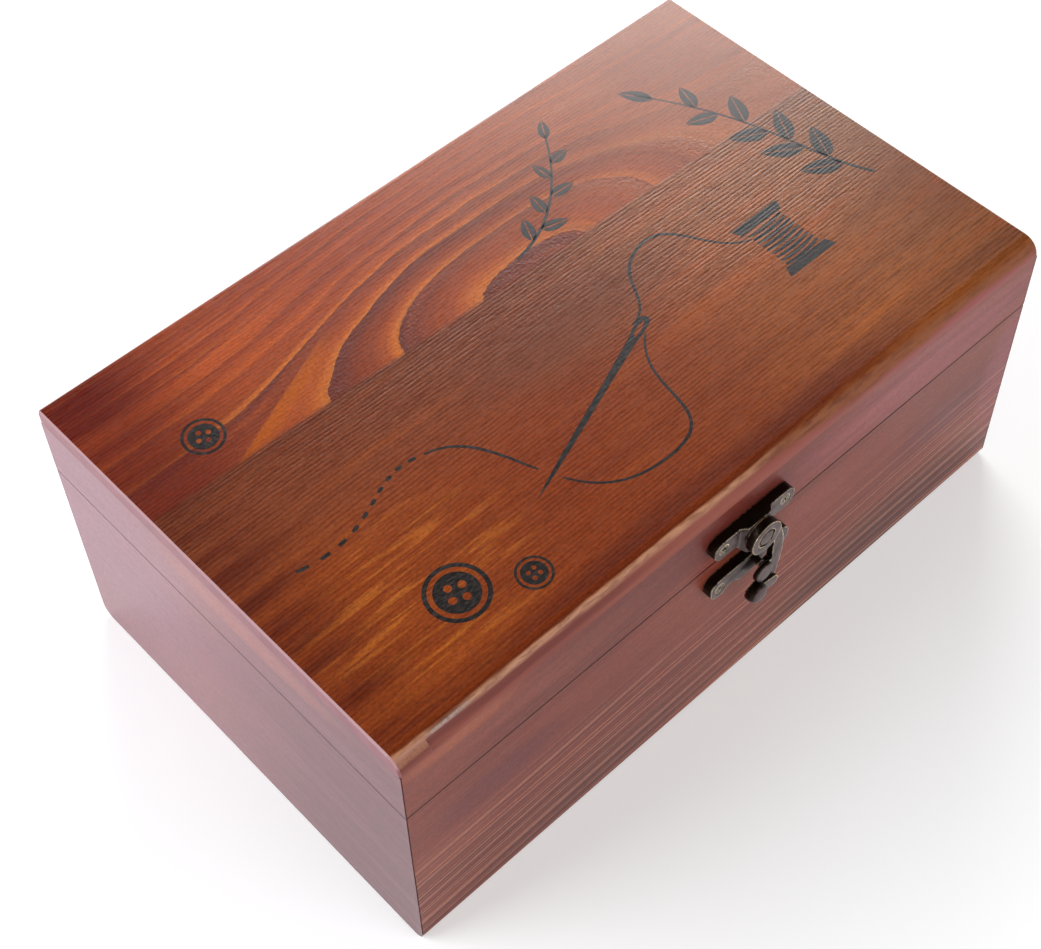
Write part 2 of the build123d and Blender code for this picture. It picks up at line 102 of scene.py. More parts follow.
floor_half = 2.5
floor_drop = 0.0001
floor_mesh = bpy.data.meshes.new("floor")
corners = [(x * floor_half, y * floor_half, -floor_drop) for x, y in ((-1, -1), (1, -1), (1, 1), (-1, 1))]
floor_mesh.from_pydata(corners, [], [(0, 1, 2, 3)])
floor = bpy.data.objects.new("floor", floor_mesh)
scene.collection.objects.link(floor)
floor_white = bpy.data.materials.new("floor_white")
floor_white.use_nodes = True
tree = floor_white.node_tree
tree.nodes.clear()
rays = wire(tree, "LightPath")
spot = wire(tree, "TexCoord").outputs["Object"]
from_box = wire(tree, "VectorMath", {0: spot}, operation="LENGTH").outputs["Value"]
far = step(tree, from_box, 0.28, 0.62)
far_in_view = times(tree, far, rays.outputs["Is Camera Ray"])
paper_level = times(tree, maths(tree, "SUBTRACT", 1.0, far_in_view), 0.75)
paper_grey = wire(tree, "CombineColor", {channel: paper_level for channel in range(3)}).outputs[0]
paper = wire(tree, "BsdfDiffuse", {"Color": paper_grey})
seen = maths(tree, "MAXIMUM", rays.outputs["Is Glossy Ray"], rays.outputs["Is Transmission Ray"])
seen = maths(tree, "MAXIMUM", seen, rays.outputs["Is Camera Ray"])
glow_level = maths(tree, "MAXIMUM", times(tree, seen, 0.34), far_in_view)
glow = wire(tree, "Emission", {"Color": (1.0, 1.0, 1.0, 1.0), "Strength": glow_level})
both = wire(tree, "AddShader", {0: paper.outputs[0], 1: glow.outputs[0]})
tree.links.new(both.outputs[0], wire(tree, "OutputMaterial").inputs["Surface"])
floor_mesh.materials.append(floor_white)


def softbox(name, place, target, size, watts, colour=(1.0, 1.0, 1.0)):
    """A soft rectangular lamp that the camera doesn't see, facing its target."""
    lamp = bpy.data.lights.new(name, "AREA")
    lamp.shape = "RECTANGLE"
    lamp.size, lamp.size_y = size
    lamp.energy = watts
    lamp.color = colour
    lamp_object = bpy.data.objects.new(name, lamp)
    lamp_object.location = place
    lamp_object.rotation_euler = (Vector(target) - Vector(place)).to_track_quat("-Z", "Y").to_euler()
    lamp_object.visible_camera = False
    scene.collection.objects.link(lamp_object)


softbox("back_left_softbox", (-0.80, 0.42, 0.70), (0.0, 0.0, 0.05), (0.7, 0.7), 9.0, (0.93, 0.96, 1.0))
softbox("back_right_softbox", (0.42, 0.48, 0.44), (0.02, 0.03, 0.09), (0.54, 0.22), 3.6)
softbox("front_softbox", (0.15, -0.95, 0.85), (0.0, 0.0, 0.04), (0.8, 0.5), 4.0)

camera_place = (-0.2160, -0.2282, 0.4524)
view_azimuth = radians(-42.92)
view_elevation = radians(52.70)
view_roll = radians(-0.72)
camera_data = bpy.data.cameras.new("camera")
camera_data.lens = 67.30
camera_data.sensor_width = 36.0
camera_data.shift_x = -0.0235
camera_data.shift_y = -0.0293
camera_data.clip_start = 0.01
backward = Vector((
    sin(view_azimuth) * cos(view_elevation),
    -cos(view_azimuth) * cos(view_elevation),
    sin(view_elevation),
))
level_right = Vector((0.0, 0.0, 1.0)).cross(backward).normalized()
level_up = backward.cross(level_right)
right = cos(view_roll) * level_right + sin(view_roll) * level_up
up = cos(view_roll) * level_up - sin(view_roll) * level_right
camera = bpy.data.objects.new("camera", camera_data)
camera_turn = Matrix((right, up, backward)).transposed().to_4x4()
camera.matrix_world = Matrix.Translation(camera_place) @ camera_turn
scene.collection.objects.link(camera)
scene.camera = camera


# Base boards: four pine boards mitred at the corners, rubbed with a rose-brown stain and varnished.
# The hard late wood of each growth ring takes less stain and stands up as a thin tan line.

def tone(red, green, blue):
    """A display colour of 0 to 255 as the linear colour that a shader takes."""
    return tuple((value / 255) ** 2.2 for value in (red, green, blue)) + (1.0,)


def blend(tree, factor, under, over):
    """Lays one colour over another."""
    return wire(tree, "Mix", {"Factor": factor, 6: under, 7: over}, data_type="RGBA").outputs[2]


def scaled(tree, colour, level):
    """Makes a colour darker or lighter: level is 1 where it stays."""
    return wire(tree, "VectorMath", {0: colour, "Scale": level}, operation="SCALE").outputs[0]


def surface_facing(tree):
    """X, Y and Z of the direction that the surface faces, in the piece's own frame."""
    return split(tree, wire(tree, "TexCoord").outputs["Normal"])


def stretched_noise(tree, place, stretch, detail=2.0, roughness=0.5):
    """Noise whose grain is drawn out along the board: stretch is its fineness per millimetre each way."""
    drawn = wire(tree, "VectorMath", {0: place, 1: stretch}, operation="MULTIPLY").outputs[0]
    feeds = {"Vector": drawn, "Scale": 1.0, "Detail": detail, "Roughness": roughness}
    return wire(tree, "TexNoise", feeds, noise_dimensions="3D").outputs["Fac"]


def swaying(tree, place, stretch, detail):
    """The same noise, lowered so that it lies about zero."""
    return maths(tree, "SUBTRACT", stretched_noise(tree, place, stretch, detail), 0.5)


def millimetres(tree, turn=0.0):
    """The piece's own coordinates in millimetres, turned so that the grain runs along X."""
    own = wire(tree, "TexCoord").outputs["Object"]
    feeds = {"Vector": own, "Rotation": (0.0, 0.0, turn), "Scale": (1000.0, 1000.0, 1000.0)}
    return wire(tree, "Mapping", feeds).outputs[0]


def new_group(name, inputs, outputs):
    """An empty node group; inputs and outputs are (name, socket type) pairs."""
    group = bpy.data.node_groups.new(name, "ShaderNodeTree")
    for label, kind in inputs:
        group.interface.new_socket(label, in_out="INPUT", socket_type="NodeSocket" + kind)
    for label, kind in outputs:
        group.interface.new_socket(label, in_out="OUTPUT", socket_type="NodeSocket" + kind)
    return group, group.nodes.new("NodeGroupInput").outputs, group.nodes.new("NodeGroupOutput").inputs


def use_group(tree, group, feeds):
    return wire(tree, "Group", feeds, node_tree=group).outputs


def new_material(name):
    """A material with its node tree and its surface shader."""
    material = bpy.data.materials.new(name)
    material.use_nodes = True
    return material, material.node_tree, material.node_tree.nodes["Principled BSDF"]


def bump_up(tree, surface, height, strength, distance):
    """Lets the height show as relief; distance is its depth in metres."""
    bump = wire(tree, "Bump", {"Strength": strength, "Distance": distance, "Height": height})
    tree.links.new(bump.outputs[0], surface.inputs["Normal"])


# Growth rings: circles round a pith that lies beside the board, leaning a little along it.
growth_rings, given, result = new_group(
    "growth_rings",
    [("Place", "Vector"), ("Pith Across", "Float"), ("Pith Deep", "Float"), ("Lean", "Float"),
     ("Ring Width", "Float"), ("Wander", "Float")],
    [("Late Wood", "Float"), ("Early Wood", "Float"), ("Ring Tone", "Float")],
)
tree = growth_rings
place = split(tree, given["Place"])
across = maths(tree, "SUBTRACT", place["Z"], given["Pith Across"])
deep = maths(tree, "SUBTRACT", place["Y"], given["Pith Deep"])
distance = maths(tree, "SQRT", maths(tree, "MULTIPLY_ADD", across, across, times(tree, deep, deep)))
distance = maths(tree, "MULTIPLY_ADD", place["X"], given["Lean"], distance)
slow = swaying(tree, given["Place"], (0.006, 0.03, 0.03), 1.0)
distance = maths(tree, "MULTIPLY_ADD", slow, given["Wander"], distance)
quick = swaying(tree, given["Place"], (0.03, 0.5, 0.5), 2.0)
distance = maths(tree, "MULTIPLY_ADD", quick, 0.35, distance)
count = maths(tree, "DIVIDE", distance, given["Ring Width"])
seasons = wire(tree, "TexNoise", {"W": count, "Scale": 0.6, "Detail": 1.0}, noise_dimensions="1D")
count = maths(tree, "MULTIPLY_ADD", seasons.outputs["Fac"], 2.2, count)
season = maths(tree, "FRACT", count)
rising = step(tree, season, 0.46, 0.76)
falling = step(tree, season, 0.88, 1.0, 1.0, 0.0)
tree.links.new(times(tree, rising, falling), result["Late Wood"])
tree.links.new(step(tree, season, 0.02, 0.40, 1.0, 0.0), result["Early Wood"])
ring_dice = wire(tree, "TexWhiteNoise", {"W": maths(tree, "FLOOR", count)}, noise_dimensions="1D")
tree.links.new(ring_dice.outputs["Value"], result["Ring Tone"])


def smudge(tree, along, across, centre, reach):
    """A soft-edged oval mask, 1 in its middle, with its centre and reach in millimetres."""
    near = []
    for value, middle, half in zip((along, across), centre, reach):
        offset = maths(tree, "DIVIDE", maths(tree, "SUBTRACT", value, middle), half)
        near.append(times(tree, offset, offset))
    return step(tree, maths(tree, "ADD", *near), 1.0, 0.0)


seam_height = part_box("lid_front_board")[0][2] * 1000


def stained_board(name, turn, ring_sizes, tones, line_strength, ridged_below, smudges):
    """Rose-brown stained pine. Smudges, a few of them painted shade and sheen: centre, reach, tone,
    strength.
    """
    material, tree, surface = new_material(name)
    place = millimetres(tree, turn)
    rings = use_group(tree, growth_rings, {"Place": place, **ring_sizes})
    point = split(tree, place)
    patches = stretched_noise(tree, place, (0.010, 0.03, 0.03), 2.0)
    streaks = stretched_noise(tree, place, (0.014, 0.22, 0.22), 3.0, 0.55)
    fibres = stretched_noise(tree, place, (0.16, 3.0, 3.0), 3.0, 0.65)
    mottle = stretched_noise(tree, place, (0.9, 1.3, 1.3), 2.0, 0.6)
    wavy_height = maths(tree, "MULTIPLY_ADD", patches, 14.0, point["Z"])
    ridged = step(tree, wavy_height, ridged_below + 13.0, ridged_below - 1.0)
    colour = blend(tree, step(tree, patches, 0.42, 0.68, 0.0, 0.6), tones["body"], tones["warm"])
    colour = blend(tree, step(tree, patches, 0.50, 0.30, 0.0, 0.45), colour, tones["shade"])
    for centre, reach, smudge_tone, strength in smudges:
        mask = times(tree, smudge(tree, point["X"], point["Z"], centre, reach), strength)
        mask = times(tree, mask, step(tree, streaks, 0.30, 0.60, 0.7, 1.0))
        colour = blend(tree, mask, colour, smudge_tone)
    colour = blend(tree, step(tree, streaks, 0.50, 0.74, 0.0, 0.30), colour, tones["warm"])
    colour = blend(tree, step(tree, streaks, 0.48, 0.26, 0.0, 0.30), colour, tones["shade"])
    # Painted shade: where the boards are ridged, the early wood beside each tan line is darkened as the
    # shade in the hollows.
    hollow = times(tree, rings["Early Wood"], times(tree, ridged, 0.85 * line_strength))
    colour = blend(tree, hollow, colour, tones["shade"])
    line = times(tree, rings["Late Wood"], maths(tree, "MULTIPLY_ADD", rings["Ring Tone"], 0.65, 0.35))
    line = times(tree, line, maths(tree, "MULTIPLY_ADD", ridged, 0.92, 0.08))
    line = times(tree, line, step(tree, streaks, 0.25, 0.50, 0.5, 1.0))
    colour = blend(tree, times(tree, line, line_strength), colour, tones["line"])
    fibre_share = 0.04 + 0.13 * line_strength
    colour = blend(tree, step(tree, fibres, 0.50, 0.75, 0.0, fibre_share), colour, tones["line"])
    colour = blend(tree, step(tree, fibres, 0.50, 0.25, 0.0, fibre_share), colour, tones["shade"])
    colour = scaled(tree, colour, step(tree, mottle, 0.28, 0.72, 0.86, 1.14))
    # Painted shade: the boards are darkened along the seam between lid and base, in patches.
    from_seam = maths(tree, "ABSOLUTE", maths(tree, "SUBTRACT", point["Z"], seam_height))
    seam_shade = times(tree, step(tree, from_seam, 0.65, 0.15), step(tree, streaks, 0.60, 0.35, 0.55, 0.95))
    colour = blend(tree, seam_shade, colour, tones["seam"])
    facing = surface_facing(tree)
    sideways = times(tree, maths(tree, "ABSOLUTE", facing["X"]), maths(tree, "ABSOLUTE", facing["Y"]))
    colour = blend(tree, step(tree, sideways, 0.15, 0.40, 0.0, 0.75), colour, tones["corner"])
    under_edge = step(tree, facing["Z"], -0.10, -0.60)
    colour = blend(tree, times(tree, under_edge, 0.55), colour, tones["edge"])
    tree.links.new(colour, surface.inputs["Base Color"])
    varnish = step(tree, fibres, 0.3, 0.7, 0.41 - fibre_share / 2, 0.41 + fibre_share / 2)
    tree.links.new(varnish, surface.inputs["Roughness"])
    relief = times(tree, rings["Late Wood"], times(tree, ridged, line_strength))
    height = maths(tree, "MULTIPLY_ADD", fibres, 0.28 * line_strength, relief)
    height = maths(tree, "MULTIPLY_ADD", mottle, 0.10 + 0.30 * line_strength, height)
    bump_up(tree, surface, height, 0.8, 0.00010)
    return material


front_tones = {
    "body": tone(128, 58, 47), "warm": tone(142, 72, 54), "shade": tone(90, 40, 38),
    "line": tone(204, 136, 110), "corner": tone(48, 22, 30), "edge": tone(190, 150, 140),
    "seam": tone(66, 24, 18),
}
front_rings = {"Pith Across": 78.0, "Pith Deep": -52.0, "Lean": 0.012, "Ring Width": 2.5, "Wander": 7.0}
front_smudges = [
    ((-80.0, 50.0), (26.0, 9.0), tone(92, 38, 50), 0.6),
    ((-40.0, 12.0), (38.0, 8.0), tone(84, 38, 40), 0.6),
    # painted shade: darker low down towards the right
    ((62.0, 11.0), (58.0, 17.0), tone(72, 24, 26), 0.95),
    ((80.0, 40.0), (28.0, 9.0), tone(96, 42, 54), 0.5),
    ((107.0, 38.0), (13.0, 36.0), tone(160, 86, 98), 0.6),
    ((30.0, 54.0), (40.0, 7.0), tone(146, 70, 68), 0.5),
    ((-92.0, 82.0), (22.0, 3.5), tone(172, 92, 62), 0.75),
    ((-60.0, 74.0), (34.0, 4.0), tone(152, 80, 66), 0.5),
    ((-98.0, 34.0), (18.0, 8.0), tone(152, 84, 66), 0.45),
    ((64.0, 74.0), (66.0, 12.0), tone(160, 84, 88), 0.8),
]
front_stain = stained_board("rose_stain_front", 0.0, front_rings, front_tones, 0.85, 38.0, front_smudges)
back_stain = stained_board("rose_stain_back", pi, front_rings, front_tones, 0.6, 20.0, front_smudges[2:4])
for board_stain in (front_stain, back_stain):
    board_stain.node_tree.nodes["Principled BSDF"].inputs["Specular IOR Level"].default_value = 0.25

# The end boards: the same rose-brown stain, painted lighter and more lavender as the sheen that lies on
# them.
end_tones = {
    "body": tone(138, 78, 88), "warm": tone(146, 84, 86), "shade": tone(122, 70, 86),
    "line": tone(164, 106, 110), "corner": tone(52, 26, 38), "edge": tone(200, 170, 180),
    "seam": tone(84, 40, 46),
}
end_rings = {"Pith Across": 120.0, "Pith Deep": 60.0, "Lean": 0.012, "Ring Width": 4.0, "Wander": 9.0}
end_smudges = [
    # painted sheen: lighter and lavender towards the top at the back
    ((-50.0, 60.0), (46.0, 50.0), tone(146, 90, 112), 0.6),
    # painted shade: darker towards the front and the bottom
    ((72.0, 28.0), (98.0, 110.0), tone(96, 36, 46), 1.0),
    ((12.0, 79.0), (40.0, 6.0), tone(176, 96, 80), 0.5),
    ((0.0, 36.0), (30.0, 14.0), tone(146, 76, 84), 0.3),
]
end_stain_and_sheen = stained_board("rose_stain_end_and_sheen", pi / 2, end_rings, end_tones, 0.16, -20.0, end_smudges)
end_stain_and_sheen.node_tree.nodes["Principled BSDF"].inputs["Coat Weight"].default_value = 0.3


def finish_in(material, *names):
    """Gives the CAD pieces their surface finish."""
    for name in names:
        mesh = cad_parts[name].data
        mesh.materials.clear()
        mesh.materials.append(material)


finish_in(front_stain, "base_front_board")
finish_in(back_stain, "base_back_board")
finish_in(end_stain_and_sheen, "base_left_board", "base_right_board")


# Bottom panel and dividers: thin pine, planed and lightly stained, left matt inside the box.

pale_pine, tree, surface = new_material("pale_inner_pine")
place = millimetres(tree)
pine_rings = {"Pith Across": -40.0, "Pith Deep": 70.0, "Lean": 0.02, "Ring Width": 3.4, "Wander": 10.0}
rings = use_group(tree, growth_rings, {"Place": place, **pine_rings})
fibres = stretched_noise(tree, place, (0.12, 2.4, 2.4), 3.0, 0.6)
patches = stretched_noise(tree, place, (0.012, 0.05, 0.05), 2.0)
colour = blend(tree, step(tree, patches, 0.35, 0.65), tone(196, 146, 104), tone(208, 164, 122))
colour = blend(tree, times(tree, rings["Late Wood"], 0.55), colour, tone(160, 98, 62))
colour = blend(tree, times(tree, step(tree, fibres, 0.45, 0.75), 0.3), colour, tone(172, 118, 80))
tree.links.new(colour, surface.inputs["Base Color"])
surface.inputs["Roughness"].default_value = 0.72
bump_up(tree, surface, fibres, 0.5, 0.00006)
finish_in(pale_pine, "base_bottom_panel", "long_divider", "short_divider_left", "short_divider_right")


# Lid boards: sawn off the base's boards after glueing, so that their grain runs on across the seam.

finish_in(front_stain, "lid_front_board")
finish_in(back_stain, "lid_back_board")
finish_in(end_stain_and_sheen, "lid_left_board", "lid_right_board")


# Lid top board: two pine boards glued edge to edge and stained red-brown. The one behind is flat-sawn
# and shows nested arches of growth rings; the one in front is quarter-sawn and brushed into fine ridges.

lid_figure, given, result = new_group(
    "lid_top_figure",
    [("Place", "Vector")],
    [("Behind Joint", "Float"), ("From Joint", "Float"), ("Ring Count", "Float"), ("Arch Height", "Float"),
     ("Ridge", "Float"), ("Ridged", "Float"), ("Height", "Float")],
)
tree = lid_figure
point = split(tree, given["Place"])
drift = swaying(tree, given["Place"], (0.010, 0.03, 0.03), 1.0)
waver = swaying(tree, given["Place"], (0.05, 0.16, 0.16), 2.0)
shiver = swaying(tree, given["Place"], (0.5, 1.2, 1.2), 2.0)
joint_slope, joint_y = -0.028, 17.6
joint_line = maths(tree, "MULTIPLY_ADD", point["X"], joint_slope, joint_y)
behind = maths(tree, "SUBTRACT", point["Y"], joint_line)
behind = maths(tree, "MULTIPLY_ADD", waver, 0.9, behind)
tree.links.new(behind, result["From Joint"])
back_board = step(tree, behind, -0.9, 0.9)
tree.links.new(back_board, result["Behind Joint"])

# The arches are nested, square-shouldered ovals round a middle that lies under the joint
arch_x, arch_y, arch_reach, arch_shoulder, squareness, ring_area = 9.0, 14.0, 50.0, 29.0, 2.5, 310.0
sideways = maths(tree, "MULTIPLY_ADD", drift, 6.0, maths(tree, "SUBTRACT", point["X"], arch_x))
sideways = maths(tree, "DIVIDE", maths(tree, "ABSOLUTE", sideways), arch_reach)
steeper = times(tree, maths(tree, "POWER", sideways, 3.0), 0.20)
sideways = maths(tree, "MULTIPLY_ADD", sideways, 0.82, steeper)
sideways = times(tree, maths(tree, "TANH", sideways), arch_shoulder)
upwards = maths(tree, "MULTIPLY_ADD", waver, 2.2, maths(tree, "SUBTRACT", point["Y"], arch_y))
upwards = maths(tree, "MAXIMUM", upwards, 0.0)
parts = [maths(tree, "POWER", reach, squareness) for reach in (sideways, upwards)]
oval = maths(tree, "POWER", maths(tree, "ADD", *parts), 1 / squareness)
tree.links.new(oval, result["Arch Height"])
ring_count = maths(tree, "MULTIPLY_ADD", times(tree, oval, oval), 1 / ring_area, -0.24)
ring_count = maths(tree, "MULTIPLY_ADD", shiver, 0.05, ring_count)
tree.links.new(ring_count, result["Ring Count"])

# The ridges are clearest beside the joint and towards the right
ridge_spacing = 1.12
bent = maths(tree, "MULTIPLY_ADD", drift, 7.0, point["Y"])
bent = maths(tree, "MULTIPLY_ADD", waver, 0.35, bent)
ridge_wave = maths(tree, "SINE", times(tree, bent, 2 * pi / ridge_spacing))
ridge_wave = maths(tree, "MULTIPLY_ADD", ridge_wave, 0.5, 0.5)
dashes = stretched_noise(tree, given["Place"], (0.17, 1.7, 1.7), 2.0, 0.6)
ridge = maths(tree, "MULTIPLY_ADD", ridge_wave, 0.48, times(tree, step(tree, dashes, 0.30, 0.70), 0.52))
tree.links.new(ridge, result["Ridge"])
by_joint = step(tree, behind, -30.0, -6.0, 0.0, 0.6)
to_the_right = step(tree, point["X"], -20.0, 55.0, 0.0, 0.75)
to_the_right = times(tree, to_the_right, step(tree, point["X"], 106.0, 82.0, 0.35, 1.0))
to_the_right = times(tree, to_the_right, step(tree, behind, -52.0, -28.0))
ridged = maths(tree, "MAXIMUM", maths(tree, "MAXIMUM", by_joint, to_the_right), 0.15)
ridged = times(tree, ridged, maths(tree, "SUBTRACT", 1.0, back_board))
tree.links.new(ridged, result["Ridged"])
late_season = step(tree, maths(tree, "FRACT", ring_count), 0.55, 0.90)
rough_patch = times(tree, late_season, step(tree, behind, 20.0, 6.0))
rough_patch = times(tree, rough_patch, back_board)
pebbles = stretched_noise(tree, given["Place"], (1.1, 1.1, 1.1), 2.0, 0.6)
height = times(tree, ridge, ridged)
height = maths(tree, "MULTIPLY_ADD", pebbles, 0.50, height)
height = maths(tree, "MULTIPLY_ADD", times(tree, pebbles, rough_patch), 0.9, height)
facing = surface_facing(tree)
tree.links.new(times(tree, height, step(tree, facing["Z"], 0.30, 0.85)), result["Height"])

top_stain, tree, surface = new_material("red_brown_top_stain")
place = millimetres(tree)
figure = use_group(tree, lid_figure, {"Place": place})
point = split(tree, place)
# Painted sheen: towards the right the tones below are painted lighter and less red.
sheen_to_right = step(tree, point["X"], -30.0, 100.0)
patches = stretched_noise(tree, place, (0.012, 0.03, 0.03), 2.0)
flecks = stretched_noise(tree, place, (0.22, 1.3, 1.3), 2.0, 0.7)
mottle = stretched_noise(tree, place, (1.1, 1.6, 1.6), 2.0, 0.6)

# The back board, from the sharp golden rim of each arch outwards: orange, red-brown, then purple-brown
season = maths(tree, "FRACT", figure["Ring Count"])
season_ramp = wire(tree, "ValToRGB", {"Fac": season})
stops = season_ramp.color_ramp.elements
stops[0].position, stops[0].color = 0.0, tone(186, 104, 42)
stops[1].position, stops[1].color = 1.0, tone(92, 44, 36)
for position, colour in [
    (0.07, tone(182, 96, 38)), (0.17, tone(162, 78, 32)), (0.32, tone(142, 64, 30)),
    (0.62, tone(120, 54, 32)), (0.84, tone(99, 48, 39)),
]:
    stop = stops.new(position)
    stop.color = colour
bent_place = {"X": point["X"], "Y": figure["Arch Height"], "Z": point["Z"]}
along_arch = wire(tree, "CombineXYZ", bent_place).outputs[0]
bands = stretched_noise(tree, along_arch, (0.007, 0.20, 0.20), 3.0, 0.55)
thin_bands = stretched_noise(tree, along_arch, (0.012, 0.75, 0.75), 2.0, 0.6)
arched = step(tree, figure["Ring Count"], 5.0, 2.4, 0.35, 0.92)
arched = times(tree, arched, step(tree, point["X"], 10.0, 70.0, 1.0, 0.45))
back_colour = blend(tree, arched, tone(142, 56, 22), season_ramp.outputs["Color"])
off_flame = maths(tree, "MULTIPLY_ADD", point["X"], -0.43, maths(tree, "SUBTRACT", point["Y"], 55.0))
flame = times(tree, step(tree, off_flame, 1.0, 0.2), step(tree, off_flame, -6.5, -0.6))
flame = times(tree, flame, step(tree, point["X"], -38.0, -54.0))
outside = step(tree, figure["Ring Count"], 1.97, 2.03, 0.25, 1.0)
back_colour = blend(tree, times(tree, flame, outside), back_colour, tone(164, 80, 20))
# Painted sheen: the back board lighter and duller towards the right.
painted_sheen = times(tree, sheen_to_right, step(tree, figure["Ring Count"], 0.6, 2.5, 0.2, 0.55))
back_colour = blend(tree, painted_sheen, back_colour, tone(142, 88, 54))
calm = step(tree, figure["Ring Count"], 3.2, 1.8, 1.0, 0.45)
light_band = times(tree, step(tree, bands, 0.50, 0.70, 0.0, 0.65), calm)
dark_band = times(tree, step(tree, bands, 0.48, 0.28, 0.0, 0.55), calm)
light_tone = blend(tree, sheen_to_right, tone(172, 76, 28), tone(176, 112, 68))
dark_tone = blend(tree, sheen_to_right, tone(110, 40, 20), tone(112, 64, 42))
back_colour = blend(tree, light_band, back_colour, light_tone)
back_colour = blend(tree, dark_band, back_colour, dark_tone)
back_colour = blend(tree, step(tree, thin_bands, 0.54, 0.72, 0.0, 0.40), back_colour, tone(186, 92, 38))
back_colour = blend(tree, step(tree, thin_bands, 0.46, 0.28, 0.0, 0.30), back_colour, tone(96, 36, 18))
deep_red = times(tree, step(tree, point["X"], -68.0, -98.0), step(tree, bands, 0.35, 0.60, 1.0, 0.65))
back_colour = blend(tree, times(tree, deep_red, 0.95), back_colour, tone(86, 18, 5))

# The front board: dark beside the joint, orange-brown in front, with golden streaks near its left end
in_front = step(tree, figure["From Joint"], -8.0, -46.0)
crest = blend(tree, in_front, tone(132, 70, 38), tone(138, 60, 16))
crest = blend(tree, times(tree, sheen_to_right, 0.8), crest, tone(152, 92, 46))
hollow = blend(tree, in_front, tone(90, 43, 26), tone(104, 41, 10))
hollow = blend(tree, times(tree, sheen_to_right, 0.6), hollow, tone(104, 57, 28))
depth = step(tree, figure["Ridged"], 0.0, 1.0, 0.28, 0.80)
ridge_tone = maths(tree, "MULTIPLY_ADD", maths(tree, "SUBTRACT", figure["Ridge"], 0.55), depth, 0.62)
front_colour = blend(tree, step(tree, ridge_tone, 0.15, 0.95), hollow, crest)
streaks = stretched_noise(tree, place, (0.010, 0.16, 0.16), 3.0, 0.55)
front_colour = blend(tree, step(tree, streaks, 0.50, 0.72, 0.0, 0.45), front_colour, tone(154, 74, 24))
front_colour = blend(tree, step(tree, streaks, 0.48, 0.28, 0.0, 0.40), front_colour, tone(96, 40, 14))
to_left = step(tree, point["X"], 60.0, -40.0, 0.3, 0.8)
beside_joint = times(tree, step(tree, figure["From Joint"], -11.0, -0.5), to_left)
front_colour = blend(tree, times(tree, beside_joint, 0.6), front_colour, tone(80, 36, 22))
greyed = smudge(tree, point["X"], point["Y"], (5.0, -3.0), (44.0, 16.0))
front_colour = blend(tree, times(tree, greyed, 0.5), front_colour, tone(98, 56, 42))
glow = smudge(tree, point["X"], point["Y"], (-76.0, -36.0), (38.0, 30.0))
front_colour = blend(tree, times(tree, glow, 0.15), front_colour, tone(146, 72, 18))
golden = stretched_noise(tree, place, (0.045, 0.75, 0.75), 2.0, 0.5)
right_front = smudge(tree, point["X"], point["Y"], (70.0, -44.0), (52.0, 26.0))
golden = times(tree, step(tree, golden, 0.50, 0.66), maths(tree, "MULTIPLY_ADD", right_front, 0.4, glow))
front_colour = blend(tree, times(tree, golden, 0.55), front_colour, tone(186, 104, 34))
fleck_mask = times(tree, step(tree, flecks, 0.46, 0.32), step(tree, in_front, 0.0, 1.0, 0.3, 0.6))
front_colour = blend(tree, times(tree, fleck_mask, 0.4), front_colour, tone(84, 34, 12))
dark_end = times(tree, step(tree, point["X"], -82.0, -105.0), step(tree, streaks, 0.60, 0.38, 0.35, 0.85))
front_colour = blend(tree, dark_end, front_colour, tone(80, 28, 10))
dark_edge = times(tree, step(tree, point["Y"], -53.0, -61.0), step(tree, streaks, 0.62, 0.36, 0.2, 0.8))
dark_edge = times(tree, dark_edge, step(tree, point["X"], 20.0, 80.0, 1.0, 0.5))
front_colour = blend(tree, dark_edge, front_colour, tone(86, 32, 12))
# Painted shade: the front board darker towards its right end.
front_colour = scaled(tree, front_colour, step(tree, point["X"], 62.0, 106.0, 1.0, 0.80))
colour = blend(tree, figure["Behind Joint"], front_colour, back_colour)
colour = blend(tree, step(tree, patches, 0.50, 0.32, 0.0, 0.30), colour, tone(100, 38, 16))
colour = scaled(tree, colour, step(tree, mottle, 0.28, 0.72, 0.80, 1.18))

# The rounded front edge: a thin, wandering tan line as far as the latch, worn wood with a painted
# highlight, and a golden-brown band beyond it, painted light on the round in worn patches. Below that and
# in the scoop the stain is rose-brown, and the scoop's upper edge has a pale painted highlight.
facing = surface_facing(tree)
forward = times(tree, facing["Y"], -1.0)
rose = blend(tree, step(tree, streaks, 0.35, 0.62), tone(120, 56, 48), tone(152, 80, 64))
rose = blend(tree, times(tree, sheen_to_right, 0.8), rose, tone(158, 84, 84))
past_latch = step(tree, point["X"], -8.0, 22.0)
edge_wander = stretched_noise(tree, place, (0.035, 0.2, 0.2), 2.0)
edge_patches = stretched_noise(tree, place, (0.20, 1.1, 1.1), 3.0, 0.65)
wander = maths(tree, "MULTIPLY_ADD", edge_wander, 0.5, maths(tree, "SUBTRACT", forward, 0.25))
turned_down = step(tree, maths(tree, "MULTIPLY_ADD", past_latch, -0.28, wander), 0.50, 0.68)
# Painted light on the round beyond the latch, in patches.
golden_lit_edge = times(tree, step(tree, wander, 0.10, 0.60), past_latch)
golden_lit_edge = times(tree, golden_lit_edge, step(tree, edge_patches, 0.32, 0.64, 0.25, 0.85))
colour = blend(tree, golden_lit_edge, colour, tone(152, 86, 48))
colour = blend(tree, turned_down, colour, rose)
